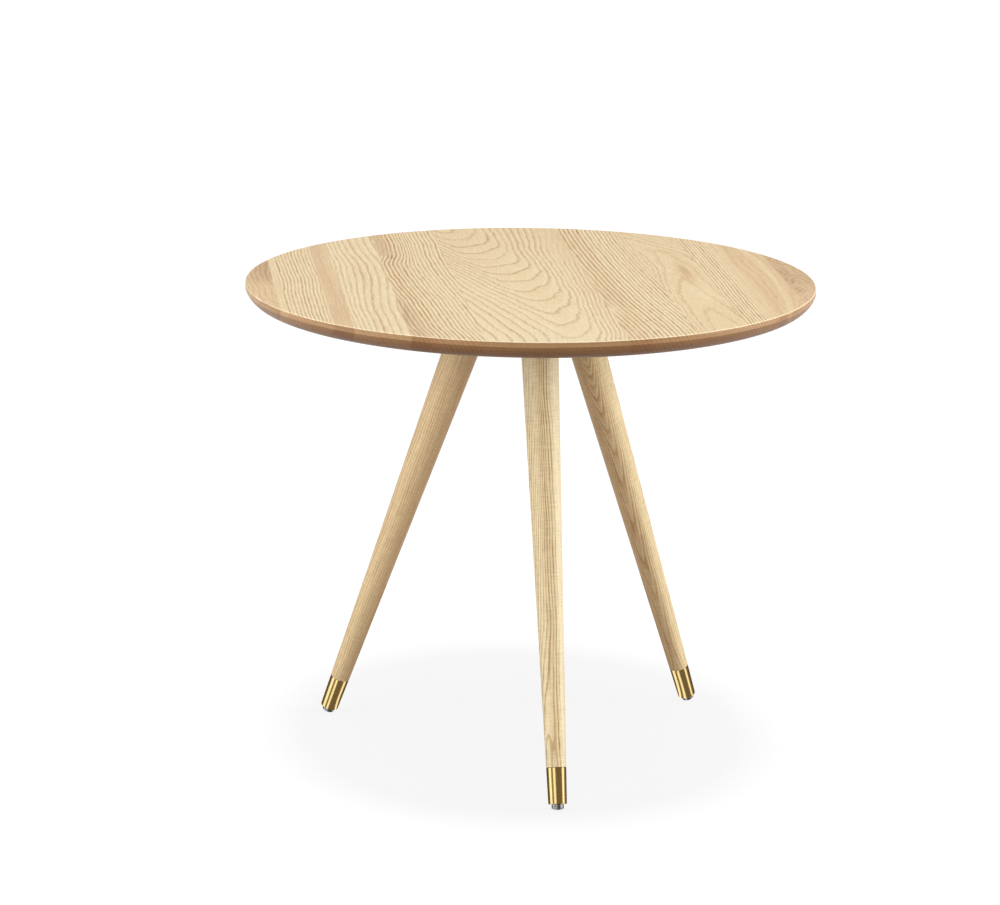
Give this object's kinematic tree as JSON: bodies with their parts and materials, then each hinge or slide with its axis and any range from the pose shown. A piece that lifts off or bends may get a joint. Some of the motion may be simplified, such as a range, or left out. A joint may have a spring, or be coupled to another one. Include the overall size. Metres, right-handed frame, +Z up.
{
  "type": "tea table",
  "caption": "Low round solid-wood table with an under-bevelled edge, splayed tapered legs in brass ferrules, and screw-in levelling feet.",
  "frame": {"origin": "on the floor under the middle of the round top, at the height of the glides' lowest points", "axes": "+Z up; the front leg stands towards -Y, the right leg 30 degrees above +X, the left leg 150 degrees from +X"},
  "size_m": [0.6, 0.6, 0.507],
  "materials": {
    "ash_top": "pale solid ash, clear matt oil or lacquer",
    "ash_legs": "pale solid ash, turned, clear matt lacquer",
    "ash_hub": "pale solid ash, clear matt lacquer",
    "brass": "polished brass",
    "glide_steel": "turned steel",
    "zinc_hardware": "zinc-plated steel"
  },
  "bodies": {
    "table": {"top_board_01": "ash_top", "top_board_02": "ash_top", "top_board_03": "ash_top", "top_board_04": "ash_top", "top_board_05": "ash_top", "top_board_06": "ash_top", "top_board_07": "ash_top", "top_board_08": "ash_top", "top_board_09": "ash_top", "top_board_10": "ash_top", "hub": "ash_hub", "hub_screws": "zinc_hardware", "front_leg": "ash_legs", "front_hanger_bolt": "zinc_hardware", "front_hub_insert": "zinc_hardware", "front_ferrule": "brass", "front_foot_insert": "zinc_hardware", "right_leg": "ash_legs", "right_hanger_bolt": "zinc_hardware", "right_hub_insert": "zinc_hardware", "right_ferrule": "brass", "right_foot_insert": "zinc_hardware", "left_leg": "ash_legs", "left_hanger_bolt": "zinc_hardware", "left_hub_insert": "zinc_hardware", "left_ferrule": "brass", "left_foot_insert": "zinc_hardware"},
    "front_foot": {"front_glide": "glide_steel"},
    "right_foot": {"right_glide": "glide_steel"},
    "left_foot": {"left_glide": "glide_steel"}
  },
  "joints": [
    {"name": "front_glide_screw", "type": "slide", "parent": "table", "child": "front_foot", "axis": [0, -0.3458, -0.9383], "range_m": [0, 0.008]},
    {"name": "right_glide_screw", "type": "slide", "parent": "table", "child": "right_foot", "axis": [0.2995, 0.1729, -0.9383], "range_m": [0, 0.008]},
    {"name": "left_glide_screw", "type": "slide", "parent": "table", "child": "left_foot", "axis": [-0.2995, 0.1729, -0.9383], "range_m": [0, 0.008]}
  ]
}
